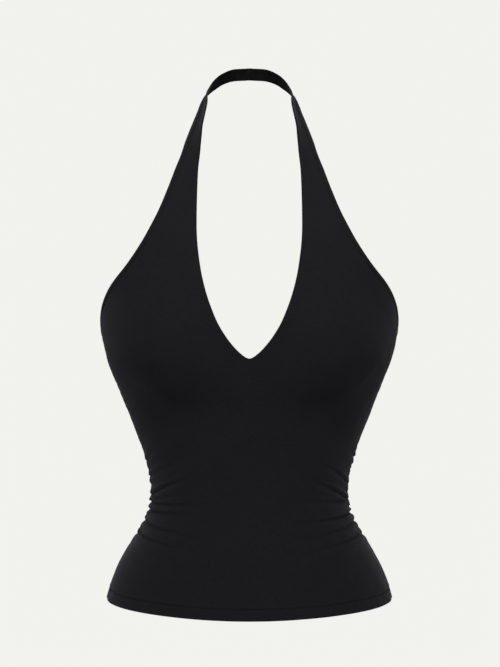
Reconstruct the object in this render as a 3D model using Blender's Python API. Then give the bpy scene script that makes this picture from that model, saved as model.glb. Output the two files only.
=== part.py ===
"""Halter neck top in doubled stretch jersey, in the hollow shape that it takes when worn.

Every piece of cloth lies on one form surface, which is given by the sections of a general figure. A place on
that surface is a turn round the body (degrees, 0 at the centre front, 90 at the wearer's left side, 180 at the
centre back) and a drop below the middle of the neck strap (millimetres). +X is the wearer's left, the front
faces -Y and Z is up. The origin is where the nape holds the strap: the middle of its inner face.
"""

import math
from collections import namedtuple

import bmesh
import bpy
from mathutils import Vector

MM = 0.001

# Driving sizes, in millimetres and degrees.
WALL = 2.0  # two layers of jersey
HEM_WALL = 3.0  # the layers turned up inside the hem
HEM_DEPTH = 12.0  # from the edge to its stitch line
STITCH_SINK = 0.4  # how far the stitching pulls the outer face in
SEAM_GAP = 0.3
BAND_WIDTH = 4.5  # finished edge round the armholes and the back
CORNER_FADE = 7.0  # degrees over which the back band narrows from the corner that it shares with an armhole band
SIDE_SEAM_TURN = 82.0
UNDERARM_DROP = 289.5
V_TIP_DROP = 313.7
HEM_SIDE_DROP = 573.0
HEM_FRONT_DIP = 10.0
HEM_BACK_DIP = 5.0
NECK_SEAM_ALONG = 322.0  # from the tip of the V, along the middle of the strap

# The cups: where the bust is fullest, and how far it stands out and fades.
CUP_DROP, CUP_TURN, CUP_OUT = 312.0, 49.0, 19.5
CUP_RISE, CUP_FALL, CUP_SPREAD = 61.0, 38.0, 24.0

# Level sections of the figure. Depths are to the front and the back of a centre that stands behind the line
# of the side seams. A squareness of 2 is an ellipse, and a larger one is boxier.
Section = namedtuple("Section", "drop breadth front back centre square_front square_back")
SECTIONS = (
    Section(-14, 50.0, 20, 59.0, 5.0, 2.0, 2.0),
    Section(0, 46.8, 20, 57.7, 5.0, 2.0, 2.0),
    Section(12, 44.0, 20, 58.5, 6.0, 2.0, 2.0),
    Section(22, 44.8, 21, 57.0, 8.0, 2.0, 2.0),
    Section(30, 48.6, 23, 57.5, 10.0, 2.0, 2.0),
    Section(38, 53.0, 32, 58.5, 11.0, 2.0, 2.0),
    Section(48, 59.4, 41, 62.0, 11.5, 2.0, 2.0),
    Section(60, 68.9, 49, 68.0, 11.0, 2.0, 2.0),
    Section(75, 86.0, 52, 76.0, 8.0, 2.0, 2.1),
    Section(92, 112.6, 56, 84.0, 5.0, 2.0, 2.2),
    Section(144, 165.0, 68, 92.0, 0.0, 2.3, 2.3),
    Section(198, 171.8, 88, 94.0, 0.0, 2.5, 2.4),
    Section(250, 164.2, 101, 93.0, 0.0, 2.5, 2.4),
    Section(288, 157.0, 105, 90.0, 0.0, 2.4, 2.4),
    Section(314, 150.5, 104, 87.0, 0.0, 2.4, 2.4),
    Section(343, 140.8, 102, 82.0, 0.0, 2.4, 2.4),
    Section(376, 128.9, 98, 75.0, 0.0, 2.3, 2.4),
    Section(410, 115.6, 95, 67.0, 0.0, 2.5, 2.3),
    Section(441, 106.9, 94, 63.0, 0.0, 2.5, 2.3),
    Section(457, 105.2, 94, 63.0, 0.0, 2.5, 2.3),
    Section(478, 108.8, 95, 67.0, 0.0, 2.45, 2.3),
    Section(500, 119.8, 97, 77.0, 0.0, 2.3, 2.3),
    Section(521, 133.5, 100, 89.0, 0.0, 2.2, 2.2),
    Section(543, 144.6, 102, 97.0, 0.0, 2.2, 2.2),
    Section(575, 154.8, 105, 103.0, 0.0, 2.2, 2.2),
    Section(590, 158.0, 106, 105.0, 0.0, 2.2, 2.2),
)

# The strap's two edges on the form, from the tip of the V and the underarm up to the centre of the nape.
# "along" is measured on the middle of the strap.
Station = namedtuple("Station", "along neck_drop neck_turn arm_drop arm_turn")
STATIONS = (
    Station(0, V_TIP_DROP, 0.0, UNDERARM_DROP, SIDE_SEAM_TURN),
    Station(2.4, 313.1, 1.9, 287.7, 81.5),
    Station(9, 307.6, 5.6, 282.5, 80.0),
    Station(17, 300.8, 8.6, 276.0, 78.0),
    Station(36, 282.0, 15.5, 261.0, 73.4),
    Station(58, 258.0, 21.3, 242.0, 67.8),
    Station(83, 232.0, 26.3, 219.0, 61.2),
    Station(111, 204.0, 30.8, 194.0, 57.3),
    Station(140, 175.0, 35.2, 168.0, 55.9),
    Station(170, 146.0, 39.5, 142.0, 56.0),
    Station(198, 118.0, 43.0, 117.0, 56.6),
    Station(226, 92.0, 46.1, 93.5, 58.1),
    Station(250, 71.7, 51.2, 75.0, 62.7),
    Station(272, 54.0, 58.2, 60.5, 68.4),
    Station(293, 37.0, 71.5, 45.0, 79.5),
    Station(306, 27.5, 84.5, 36.0, 90.2),
    Station(317, 21.0, 98.0, 30.2, 99.9),
    Station(329, 14.5, 113.8, 25.0, 112.1),
    Station(342, 8.0, 129.3, 19.6, 127.7),
    Station(359, 0.8, 146.1, 12.8, 145.4),
    Station(375, -4.2, 161.0, 8.0, 161.0),
    Station(393, -6.1, 180.0, 6.1, 180.0),
)

# The top edge of the back, from the underarm to the centre back.
BackEdge = namedtuple("BackEdge", "turn drop")
BACK_EDGE = (
    BackEdge(SIDE_SEAM_TURN, UNDERARM_DROP),
    BackEdge(95, 303.0),
    BackEdge(112, 317.0),
    BackEdge(135, 329.0),
    BackEdge(160, 337.0),
    BackEdge(180, 339.0),
)

# Creases that fan out of the gathered side seams. Each starts at "drop" on the seam, or fades in over "start"
# where it begins away from it, and climbs by "rise" over its length on the front and on the back.
Fold = namedtuple("Fold", "drop start front_length front_rise back_length back_rise depth")
LEFT_FOLDS = (
    Fold(426, 14, 36, 17, 40, 14, 1.0),
    Fold(450, 0, 60, 26, 52, 18, 2.0),
    Fold(464, 0, 74, 22, 58, 10, 2.4),
    Fold(468, 22, 84, 6, 60, 2, 1.3),
    Fold(476, 0, 98, -5, 74, -4, 2.0),
    Fold(487, 0, 84, -9, 66, -12, 1.7),
    Fold(499, 16, 98, -15, 54, -15, 1.5),
)
RIGHT_FOLDS = (
    Fold(424, 12, 60, 14, 44, 12, 1.1),
    Fold(443, 0, 66, 20, 48, 15, 1.6),
    Fold(458, 0, 82, 25, 66, 16, 2.4),
    Fold(464, 22, 82, 12, 50, 4, 0.9),
    Fold(468, 0, 94, 4, 62, 2, 2.3),
    Fold(475, 8, 90, -3, 56, -6, 1.6),
    Fold(485, 0, 110, -14, 72, -13, 2.0),
    Fold(499, 14, 94, -13, 60, -16, 1.4),
)
FOLD_WIDTH = 3.4  # half the width of a trough
FOLD_BEND = 1.2
FOLD_FADE = 1.25  # a crease has faded out at this many times its length

# How finely the cloth is divided: the height and the number of columns of a panel's rows, closer together where
# its sides are gathered, and the steps up the straps and across them.
GATHER_TOP_DROP, GATHER_BASE_DROP, GATHER_STEP = 408.0, 524.0, 4.3
PLAIN_STEP = 13.0
HEM_ROWS = (0.0, HEM_DEPTH / 2, HEM_DEPTH - 1.0, HEM_DEPTH, HEM_DEPTH + 1.5)
FRONT_GATHER_COLUMNS, FRONT_PLAIN_COLUMNS = 40, 22
BACK_GATHER_COLUMNS, BACK_PLAIN_COLUMNS = 26, 16
COLUMN_CROWD = 0.75
FIRST_STRAP_ROWS = (6.0, 14.0)
STRAP_STEP = 10.0
NECK_STEP = 5.0
STRAP_WIDTH_STEP = 12.0
SHARP_ANGLE = 50.0

JERSEY = (0.011, 0.011, 0.0125)  # linear colour
PANEL_ROUGHNESS, BAND_ROUGHNESS = 0.55, 0.5

COLLECTION = "halter_neck_top"


def smooth(table, key, value, at):
    """The column called value of a table, read at a place in its column called key along a smooth curve."""
    keys = [getattr(row, key) for row in table]
    values = [getattr(row, value) for row in table]
    last = len(table) - 2
    i = next((n for n in range(last + 1) if at <= keys[n + 1]), last)

    def slope(n):
        if n == 0 or n == last + 1:
            m = 0 if n == 0 else last
            return (values[m + 1] - values[m]) / (keys[m + 1] - keys[m])
        before, after = keys[n] - keys[n - 1], keys[n + 1] - keys[n]
        rise_before = (values[n] - values[n - 1]) / before
        rise_after = (values[n + 1] - values[n]) / after
        return (rise_before * after + rise_after * before) / (before + after)

    span = keys[i + 1] - keys[i]
    t = (at - keys[i]) / span
    ends = values[i] * (2 * t**3 - 3 * t**2 + 1) + values[i + 1] * (3 * t**2 - 2 * t**3)
    return ends + span * (slope(i) * (t**3 - 2 * t**2 + t) + slope(i + 1) * (t**3 - t**2))


def form_point(turn, drop):
    """The place on the figure's form, in millimetres from the origin."""
    angle = math.radians(turn)
    ahead, across = math.cos(angle), math.sin(angle)
    facing = "front" if ahead >= 0 else "back"
    depth = smooth(SECTIONS, "drop", facing, drop)
    square = smooth(SECTIONS, "drop", "square_" + facing, drop)
    breadth = smooth(SECTIONS, "drop", "breadth", drop)
    reach = (abs(ahead / depth) ** square + abs(across / breadth) ** square) ** (-1 / square)
    from_cup = (drop - CUP_DROP) / (CUP_RISE if drop < CUP_DROP else CUP_FALL)
    turn_from_cup = (abs((turn + 180) % 360 - 180) - CUP_TURN) / CUP_SPREAD
    reach += CUP_OUT * math.exp(-(from_cup**2) - turn_from_cup**2)
    centre = smooth(SECTIONS, "drop", "centre", drop) - NAPE_DEPTH
    return Vector((reach * across, centre - reach * ahead, -drop))


def nape_depth():
    """How far the strap's inner face at the nape stands behind the line of the side seams."""
    return smooth(SECTIONS, "drop", "centre", 0) + smooth(SECTIONS, "drop", "back", 0) - WALL


NAPE_DEPTH = nape_depth()


def outward(turn, drop):
    """The form's outward direction."""
    down = form_point(turn, drop + 1) - form_point(turn, drop - 1)
    round_the_body = form_point(turn + 0.5, drop) - form_point(turn - 0.5, drop)
    return down.cross(round_the_body).normalized()


def steps_across(edge, line, width):
    """How many times the vector line goes into a strip of this width beside an edge."""
    return width * edge.length / edge.cross(line).length


def seam_turn(drop, gap):
    """The turn that stands half a gap in front of the side seam."""
    per_degree = (form_point(SIDE_SEAM_TURN, drop) - form_point(SIDE_SEAM_TURN - 1, drop)).length
    return SIDE_SEAM_TURN - gap / 2 / per_degree


# The strap, from one edge to the other. A share of 0 is the armhole edge and 1 is the neckline.


def strap_place(along, share):
    """Turn and drop on the wearer's left strap. Its rows sink towards the front, as the hem does."""
    arm_turn, neck_turn = (smooth(STATIONS, "along", key, along) for key in ("arm_turn", "neck_turn"))
    arm_drop, neck_drop = (smooth(STATIONS, "along", key, along) for key in ("arm_drop", "neck_drop"))
    turn = arm_turn + (neck_turn - arm_turn) * share
    return turn, arm_drop + (neck_drop - arm_drop) * sink_share(SIDE_SEAM_TURN * (1 - share))


def sink_share(turn):
    """How much of the front's dip a row has at this turn: none at the side seam and all at the centre."""
    at_seam = math.cos(math.radians(SIDE_SEAM_TURN))
    return (math.cos(math.radians(turn)) - at_seam) / (1 - at_seam)


def band_share(along, width):
    """The share of the strap's row that a strip of this width takes beside the armhole edge."""
    hundredth = 0.01
    ends = [form_point(*strap_place(max(0, along + step), 0)) for step in (-1, 1)]
    line = form_point(*strap_place(along, hundredth)) - form_point(*strap_place(along, 0))
    return hundredth * steps_across(ends[1] - ends[0], line, width)


def underarm_step(width):
    """How far down the side seam a strip of this width reaches beside the armhole edge."""
    edge = form_point(*strap_place(1, 0)) - form_point(*strap_place(0, 0))
    down = form_point(SIDE_SEAM_TURN, UNDERARM_DROP + 1) - form_point(SIDE_SEAM_TURN, UNDERARM_DROP)
    return steps_across(edge, down, width)


def back_step(turn, width):
    """How far straight down a strip of this width reaches below the back's top edge."""
    drop = smooth(BACK_EDGE, "turn", "drop", turn)
    edge = form_point(turn + 1, smooth(BACK_EDGE, "turn", "drop", turn + 1)) - form_point(turn, drop)
    return steps_across(edge, form_point(turn, drop + 1) - form_point(turn, drop), width)


def back_line_drop(turn, width):
    """The drop of a line this far below the back's top edge. At the side seams it meets the armhole's line."""
    turn = min(turn, 360 - turn)
    corner = underarm_step(width) - back_step(SIDE_SEAM_TURN, width)
    bend = corner * math.exp((SIDE_SEAM_TURN - turn) / CORNER_FADE)
    return smooth(BACK_EDGE, "turn", "drop", turn) + back_step(turn, width) + bend


# Rows of the panels, from the hem up. "height" is measured on the side seam.


CORNER_DROP = UNDERARM_DROP + underarm_step(BAND_WIDTH + SEAM_GAP)
SEAM_HEIGHT = HEM_SIDE_DROP - CORNER_DROP


def front_drop(turn, height):
    dip = HEM_FRONT_DIP + (V_TIP_DROP - CORNER_DROP - HEM_FRONT_DIP) * height / SEAM_HEIGHT
    return HEM_SIDE_DROP - height + dip * sink_share(turn)


def back_drop(turn, height):
    hem = HEM_SIDE_DROP + HEM_BACK_DIP * sink_share(180 - turn)
    top = back_line_drop(turn, BAND_WIDTH + SEAM_GAP)
    return hem + (top - hem) * height / SEAM_HEIGHT


def fold_lift(folds, part, drop, distance):
    """How far the creases of one side seam move the cloth out, at a distance from the seam."""
    lift = 0.0
    for fold in folds:
        length = getattr(fold, part + "_length")
        gone = distance / length
        if gone >= FOLD_FADE:
            continue
        middle = fold.drop - getattr(fold, part + "_rise") * gone**FOLD_BEND
        off = (drop - middle) / FOLD_WIDTH
        strength = math.cos(math.pi / 2 * gone / FOLD_FADE)
        if distance < fold.start:
            strength *= distance / fold.start
        lift -= fold.depth * strength * (1 - off**2) * math.exp(-(off**2) / 2)
    return lift


def hem_finish(height):
    """The wall's thickness and the stitch line's sink, at a height above the hem's edge."""
    return (HEM_WALL if height <= HEM_DEPTH else WALL), (STITCH_SINK if height == HEM_DEPTH else 0.0)


def panel_heights():
    """The heights of a panel's rows, close together where the side seams are gathered."""
    gather_base, gather_top = HEM_SIDE_DROP - GATHER_BASE_DROP, HEM_SIDE_DROP - GATHER_TOP_DROP
    below = spread(HEM_ROWS[-1], gather_base, PLAIN_STEP)[1:-1]
    gathered = spread(gather_base, gather_top, GATHER_STEP)
    return [*HEM_ROWS, *below, *gathered, *spread(gather_top, SEAM_HEIGHT, PLAIN_STEP)[1:]]


def spread(start, end, step):
    """Evenly spread values from start to end, about a step apart."""
    count = max(1, round(abs(end - start) / step))
    return [start + (end - start) * n / count for n in range(count + 1)]


class Cloth:
    """One piece of cloth: rows of points on its outer face, with an inner face behind them."""

    def __init__(self):
        self.outer = []
        self.inner = []
        self.faces = []

    def row(self, places):
        """Adds a row of (share, turn, drop, lift, wall) and returns its (share, index) pairs."""
        found = []
        for share, turn, drop, lift, wall in places:
            point, normal = form_point(turn, drop), outward(turn, drop)
            found.append((share, len(self.outer)))
            self.outer.append(point + normal * lift)
            self.inner.append(point + normal * (lift - wall))
        return found

    def join(self, low, high):
        """Fills the outer face between two rows that run to the right, also where their counts differ."""
        i = j = 0
        while i < len(low) - 1 or j < len(high) - 1:
            next_low = low[i + 1][0] if i < len(low) - 1 else math.inf
            next_high = high[j + 1][0] if j < len(high) - 1 else math.inf
            if next_low <= next_high:
                self.faces.append((low[i][1], low[i + 1][1], high[j][1]))
                i += 1
            else:
                self.faces.append((low[i][1], high[j + 1][1], high[j][1]))
                j += 1

    def build(self, name, colour, roughness):
        """Closes the cloth round its edges and adds it to the scene."""
        behind = len(self.outer)
        edges = {edge for a, b, c in self.faces for edge in ((a, b), (b, c), (c, a))}
        rims = [(b, a, a + behind, b + behind) for a, b in sorted(edges) if (b, a) not in edges]
        backs = [(c + behind, b + behind, a + behind) for a, b, c in self.faces]
        mesh = bpy.data.meshes.new(name)
        points = [point * MM for point in self.outer + self.inner]
        mesh.from_pydata(points, [], self.faces + backs + rims)
        tidy = bmesh.new()
        tidy.from_mesh(mesh)
        bmesh.ops.triangulate(tidy, faces=tidy.faces)
        tidy.to_mesh(mesh)
        tidy.free()
        mesh.shade_smooth()
        mesh.set_sharp_from_angle(angle=math.radians(SHARP_ANGLE))
        mesh.materials.append(jersey(name, colour, roughness))
        piece = bpy.data.objects.new(name, mesh)
        bpy.data.collections[COLLECTION].objects.link(piece)
        return piece


def jersey(name, colour, roughness):
    material = bpy.data.materials.new(name + "_jersey")
    material.use_nodes = True
    shader = material.node_tree.nodes["Principled BSDF"]
    shader.inputs["Base Color"].default_value = (*colour, 1.0)
    shader.inputs["Roughness"].default_value = roughness
    shader.inputs["Metallic"].default_value = 0.0
    return material


def columns_of(count, crowd):
    """Places from -1 to 1 across a panel, closer together towards both ends."""
    even = [2 * n / count - 1 for n in range(count + 1)]
    return [math.copysign(abs(q) ** crowd, q) for q in even]


def panel_row(cloth, part, height, count):
    """A full row of the front or back panel, from one side seam to the other."""
    drop_at = front_drop if part == "front" else back_drop
    seam = seam_turn(drop_at(SIDE_SEAM_TURN, height), SEAM_GAP)
    middle, reach = (0, seam) if part == "front" else (180, 180 - 2 * SIDE_SEAM_TURN + seam)
    turns = [middle + reach * q for q in columns_of(count, COLUMN_CROWD)]
    drops = [drop_at(turn, height) for turn in turns]
    points = [form_point(turn, drop) for turn, drop in zip(turns, drops)]
    run = [0.0]
    for a, b in zip(points, points[1:]):
        run.append(run[-1] + (b - a).length)
    starts, ends = (RIGHT_FOLDS, LEFT_FOLDS) if part == "front" else (LEFT_FOLDS, RIGHT_FOLDS)
    wall, sink = hem_finish(height)
    places = []
    for turn, drop, gone in zip(turns, drops, run):
        lift = fold_lift(starts, part, drop, gone) + fold_lift(ends, part, drop, run[-1] - gone)
        places.append(((turn - middle) / reach, turn, drop, lift - sink, wall))
    return cloth.row(places)


def panel_body(cloth, part, gather_columns, plain_columns):
    """A panel's rows from the hem to its top row, which is returned."""
    low = None
    for height in panel_heights():
        gathered = GATHER_BASE_DROP >= HEM_SIDE_DROP - height >= GATHER_TOP_DROP
        high = panel_row(cloth, part, height, gather_columns if gathered else plain_columns)
        if low:
            cloth.join(low, high)
        low = high
    return low


def strap_row(cloth, along, side, shares):
    """A row across one strap. A side of 1 is the wearer's left, and -1 the right."""
    places = []
    for share in shares:
        turn, drop = strap_place(along, share)
        places.append((side * (1 - share), side * turn, drop, 0.0, WALL))
    return cloth.row(sorted(places))


def strap_alongs():
    """Where the strap's rows lie below the neck seam."""
    return [*FIRST_STRAP_ROWS, *spread(FIRST_STRAP_ROWS[-1], NECK_SEAM_ALONG - SEAM_GAP / 2, STRAP_STEP)[1:]]


def make_front_panel():
    cloth = Cloth()
    top = panel_body(cloth, "front", FRONT_GATHER_COLUMNS, FRONT_PLAIN_COLUMNS)
    for side in (1, -1):
        low = [pair for pair in top if pair[0] * side >= 0]
        for along in strap_alongs():
            edge = band_share(along, BAND_WIDTH + SEAM_GAP)
            ends = [form_point(*strap_place(along, share)) for share in (edge, 1)]
            count = max(2, round((ends[1] - ends[0]).length / STRAP_WIDTH_STEP))
            shares = [edge + (1 - edge) * n / count for n in range(count + 1)]
            high = strap_row(cloth, along, side, shares)
            cloth.join(low, high)
            low = high
    return cloth.build("front_panel", JERSEY, PANEL_ROUGHNESS)


def make_back_panel():
    cloth = Cloth()
    panel_body(cloth, "back", BACK_GATHER_COLUMNS, BACK_PLAIN_COLUMNS)
    return cloth.build("back_panel", JERSEY, PANEL_ROUGHNESS)


def make_neck_strap():
    """The band behind the neck, from the wearer's left seam round the nape to the right one."""
    cloth = Cloth()
    half = spread(NECK_SEAM_ALONG + SEAM_GAP / 2, STATIONS[-1].along, NECK_STEP)
    rows = [(along, 1) for along in half] + [(along, -1) for along in reversed(half[:-1])]
    low = None
    for along, side in rows:
        places = []
        for share in (1.0, 0.5, 0.0):
            turn, drop = strap_place(along, share)
            places.append((1 - share, side * turn, drop, 0.0, WALL))
        high = cloth.row(places)
        if low:
            cloth.join(low, high)
        low = high
    return cloth.build("neck_strap", JERSEY, BAND_ROUGHNESS)


def make_armhole_band(name, side):
    cloth = Cloth()
    seam = seam_turn(UNDERARM_DROP, SEAM_GAP)
    ends = [(0, side * seam, UNDERARM_DROP, 0.0, WALL)]
    ends.append((1, side * seam, UNDERARM_DROP + underarm_step(BAND_WIDTH), 0.0, WALL))
    low = cloth.row([(-side * share, *rest) for share, *rest in ends][::-side])
    for along in strap_alongs():
        high = strap_row(cloth, along, side, [0, band_share(along, BAND_WIDTH)])
        cloth.join(low, high)
        low = high
    return cloth.build(name, JERSEY, BAND_ROUGHNESS)


def make_back_band():
    cloth = Cloth()
    seam = 2 * SIDE_SEAM_TURN - seam_turn(UNDERARM_DROP, SEAM_GAP)
    turns = [180 + (180 - seam) * q for q in columns_of(BACK_PLAIN_COLUMNS, COLUMN_CROWD)]
    low, high = ([(n, turn, back_line_drop(turn, width), 0.0, WALL) for n, turn in enumerate(turns)]
                 for width in (BAND_WIDTH, 0))
    cloth.join(cloth.row(low), cloth.row(high))
    return cloth.build("back_band", JERSEY, BAND_ROUGHNESS)


def main():
    for thing in list(bpy.data.objects):
        bpy.data.objects.remove(thing)
    collection = bpy.data.collections.new(COLLECTION)
    bpy.context.scene.collection.children.link(collection)
    make_front_panel()
    make_back_panel()
    make_neck_strap()
    make_armhole_band("armhole_band_left", 1)
    make_armhole_band("armhole_band_right", -1)
    make_back_band()


main()
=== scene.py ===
import math
from collections import namedtuple

import bmesh
import bpy
import numpy as np
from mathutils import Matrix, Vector, kdtree


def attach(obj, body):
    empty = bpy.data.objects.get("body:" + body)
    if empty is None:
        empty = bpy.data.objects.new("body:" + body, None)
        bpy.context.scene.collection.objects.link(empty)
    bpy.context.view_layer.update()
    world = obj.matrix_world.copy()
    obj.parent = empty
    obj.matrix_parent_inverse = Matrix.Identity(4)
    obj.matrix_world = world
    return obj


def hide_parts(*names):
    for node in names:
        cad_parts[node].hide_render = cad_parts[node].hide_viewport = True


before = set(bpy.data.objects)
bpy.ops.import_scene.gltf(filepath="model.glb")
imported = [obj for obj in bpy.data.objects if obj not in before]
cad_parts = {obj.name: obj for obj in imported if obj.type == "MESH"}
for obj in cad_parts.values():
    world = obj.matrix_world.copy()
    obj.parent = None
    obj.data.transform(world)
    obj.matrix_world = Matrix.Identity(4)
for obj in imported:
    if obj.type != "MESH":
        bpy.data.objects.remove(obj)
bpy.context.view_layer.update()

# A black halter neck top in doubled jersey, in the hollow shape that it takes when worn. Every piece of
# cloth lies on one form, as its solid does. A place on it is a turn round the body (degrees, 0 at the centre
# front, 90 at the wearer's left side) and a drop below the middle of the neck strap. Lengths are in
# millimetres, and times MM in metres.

MM = 0.001


def table(columns, *rows):
    """Rows with names for their columns."""
    kind = namedtuple("Row", columns)
    return [kind(*row) for row in rows]


# ---------- the cut and the form, as the solids have them
# (only the tip of the V neck is up to 1 mm narrower than theirs)

WALL = 2.0  # how thick the solids are
CLOTH = 1.5  # how thick the two layers of jersey really are
HEM_CLOTH = 2.2  # and with the layers turned up inside the hem
HEM_DEPTH = 12.0  # from the hem's edge up to its stitch line
SEAM_GAP = 0.3
BAND_WIDTH = 4.5  # how wide the finished edges at the armholes and the back are
CORNER_FADE = 7.0  # degrees from a side seam over which the back's seam line leaves the armhole's
SIDE_SEAM_TURN = 82.0
UNDERARM_DROP = 289.5
V_TIP_DROP = 313.7
HEM_SIDE_DROP = 573.0
HEM_FRONT_DIP = 10.0
HEM_BACK_DIP = 5.0
NECK_SEAM_ALONG = 322.0
CUP_DROP, CUP_TURN, CUP_OUT = 312.0, 49.0, 19.5
CUP_RISE, CUP_FALL, CUP_SPREAD = 61.0, 38.0, 24.0

# Level sections of the form: half the breadth, the depth before and behind the centre, and how square it is.
SECTIONS = table(
    "drop breadth front back centre square_front square_back",
    (-14, 50, 20, 59, 5, 2, 2),
    (0, 46.8, 20, 57.7, 5, 2, 2),
    (12, 44, 20, 58.5, 6, 2, 2),
    (22, 44.8, 21, 57, 8, 2, 2),
    (30, 48.6, 23, 57.5, 10, 2, 2),
    (38, 53, 32, 58.5, 11, 2, 2),
    (48, 59.4, 41, 62, 11.5, 2, 2),
    (60, 68.9, 49, 68, 11, 2, 2),
    (75, 86, 52, 76, 8, 2, 2.1),
    (92, 112.6, 56, 84, 5, 2, 2.2),
    (144, 165, 68, 92, 0, 2.3, 2.3),
    (198, 171.8, 88, 94, 0, 2.5, 2.4),
    (250, 164.2, 101, 93, 0, 2.5, 2.4),
    (288, 157, 105, 90, 0, 2.4, 2.4),
    (314, 150.5, 104, 87, 0, 2.4, 2.4),
    (343, 140.8, 102, 82, 0, 2.4, 2.4),
    (376, 128.9, 98, 75, 0, 2.3, 2.4),
    (410, 115.6, 95, 67, 0, 2.5, 2.3),
    (441, 106.9, 94, 63, 0, 2.5, 2.3),
    (457, 105.2, 94, 63, 0, 2.5, 2.3),
    (478, 108.8, 95, 67, 0, 2.45, 2.3),
    (500, 119.8, 97, 77, 0, 2.3, 2.3),
    (521, 133.5, 100, 89, 0, 2.2, 2.2),
    (543, 144.6, 102, 97, 0, 2.2, 2.2),
    (575, 154.8, 105, 103, 0, 2.2, 2.2),
    (590, 158, 106, 105, 0, 2.2, 2.2),
)
# Lines across the strap, and past the neck seam across the neck band: their ends on the neckline and on the
# armhole's edge. The first is at the V neck's tip and the underarm, and the last at the nape.
STATIONS = table(
    "along neck_drop neck_turn arm_drop arm_turn",
    (0, V_TIP_DROP, 0, UNDERARM_DROP, SIDE_SEAM_TURN),
    (2.4, 313.1, 1.35, 287.7, 81.5),
    (9, 307.6, 5.45, 282.5, 80),
    (17, 300.8, 8.9, 276, 78),
    (36, 282, 15.62, 261, 73.4),
    (58, 258, 21.3, 242, 67.8),
    (83, 232, 26.3, 219, 61.2),
    (111, 204, 30.8, 194, 57.3),
    (140, 175, 35.2, 168, 55.9),
    (170, 146, 39.5, 142, 56),
    (198, 118, 43, 117, 56.6),
    (226, 92, 46.1, 93.5, 58.1),
    (250, 71.7, 51.2, 75, 62.7),
    (272, 54, 58.2, 60.5, 68.4),
    (293, 37, 71.5, 45, 79.5),
    (306, 27.5, 84.5, 36, 90.2),
    (317, 21, 98, 30.2, 99.9),
    (329, 14.5, 113.8, 25, 112.1),
    (342, 8, 129.3, 19.6, 127.7),
    (359, 0.8, 146.1, 12.8, 145.4),
    (375, -4.2, 161, 8, 161),
    (393, -6.1, 180, 6.1, 180),
)
# The top edge of the back, from the left side seam to the middle.
BACK_EDGE = table(
    "turn drop",
    (SIDE_SEAM_TURN, UNDERARM_DROP),
    (95, 303),
    (112, 317),
    (135, 329),
    (160, 337),
    (180, 339),
)

# ---------- creases, placed one by one

# Long creases that fan out of the gathered side seams, then the short pleats between them. Each starts at
# "drop" on the seam, or fades in over "start", and climbs by "rise" over its length on the front and on the
# back.
FOLD_COLUMNS = "drop start front_length front_rise back_length back_rise depth"
RIGHT_FOLDS = table(
    FOLD_COLUMNS,
    (425, 0, 50, 15, 38, 12, 2.1),
    (441.5, 0, 72, 17, 54, 14, 1.9),
    (461.5, 0, 90, 24, 62, 18, 2.6),
    (468, 38, 92, 15, 60, 4, 0.8),
    (468, 0, 98, 2, 70, 1, 1.8),
    (475.5, 0, 100, -1, 74, -5, 1.5),
    (486, 0, 112, -15, 66, -12, 1.5),
    (499, 0, 106, -15, 60, -15, 1.6),
)
LEFT_FOLDS = table(
    FOLD_COLUMNS,
    (421, 0, 38, 11, 32, 10, 1.8),
    (450, 0, 78, 27, 56, 18, 2.4),
    (466.5, 0, 90, 27, 68, 18, 2.7),
    (466, 26, 92, 4, 56, 3, 1.6),
    (478.5, 0, 108, -7, 72, -7, 1.8),
    (486.5, 0, 98, -15, 64, -13, 1.5),
    (499.5, 0, 108, -16, 60, -16, 1.6),
)
RIGHT_PLEATS = table(
    FOLD_COLUMNS,
    (340, 0, 12, 9, 10, 5, 0.8),
    (350, 0, 10, 6, 8, 3, 0.5),
    (418, 0, 14, 6, 12, 5, 0.4),
    (438, 0, 18, 7, 18, 6, 0.8),
    (442.5, 0, 22, 8, 20, 7, 0.7),
    (456, 0, 20, 6, 22, 6, 1.1),
    (481, 0, 18, -2, 22, -3, 0.8),
    (493, 0, 24, -5, 22, -6, 0.7),
    (507, 0, 20, -6, 18, -6, 0.5),
)
LEFT_PLEATS = table(
    FOLD_COLUMNS,
    (344, 0, 11, 9, 10, 5, 0.7),
    (352, 0, 9, 5, 8, 3, 0.4),
    (416, 0, 16, 6, 12, 4, 0.4),
    (433, 0, 18, 6, 18, 6, 0.7),
    (441, 0, 20, 6, 20, 7, 0.8),
    (458, 0, 22, 7, 22, 6, 1.0),
    (473, 0, 22, 0, 20, -1, 0.8),
    (492.5, 0, 24, -5, 24, -6, 0.7),
    (507, 0, 20, -6, 16, -5, 0.5),
)
FOLD_WIDTH, FOLD_SPREAD = 2.5, 0.5  # how wide the troughs are, and how much wider they get over their length
PLEAT_WIDTH, PLEAT_SPREAD = 1.6, 0.8
FOLD_WIDTH_AT = 0.4  # the share of its length at which a crease has its stated width
FOLD_STEEP, FOLD_SLOW = 1.55, 0.8  # how steep a trough is above its line and below it
FOLD_BEND = 1.1  # over 1, a crease climbs more and more
FOLD_FADE, FOLD_TAPER = 1.12, 1.5  # a crease ends at this share of its length, and how early it weakens
SEAM_BOOST, SEAM_BOOST_REACH = 0.2, 9.0  # how much deeper the creases are at the seam, and how far from it
FOLD_SHADE, FOLD_SHADE_ABOVE, FOLD_SHADE_WIDTH = 0.1, 0.5, 0.6  # how much shade is painted on their steep sides

# ---------- how finely the cloth is divided

EDGE_STEPS = np.array((0.0, 0.1, 0.3, 0.6, 1.0, 1.6, 2.5, 3.8))  # distances from an edge, for its round
FRONT_COLUMNS, FRONT_CROWDING = 62, 1.22  # across half the front, and how they crowd towards the side seam
BACK_COLUMNS, BACK_CROWDING = 46, 1.3
# Towards the middle of a panel the steps of the edge's round are stretched, but not at the V neck's tip.
MIDDLE_STRETCH, BACK_MIDDLE_STRETCH, TIP_STRETCH_FADE = 9.0, 4.0, 5.0
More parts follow.
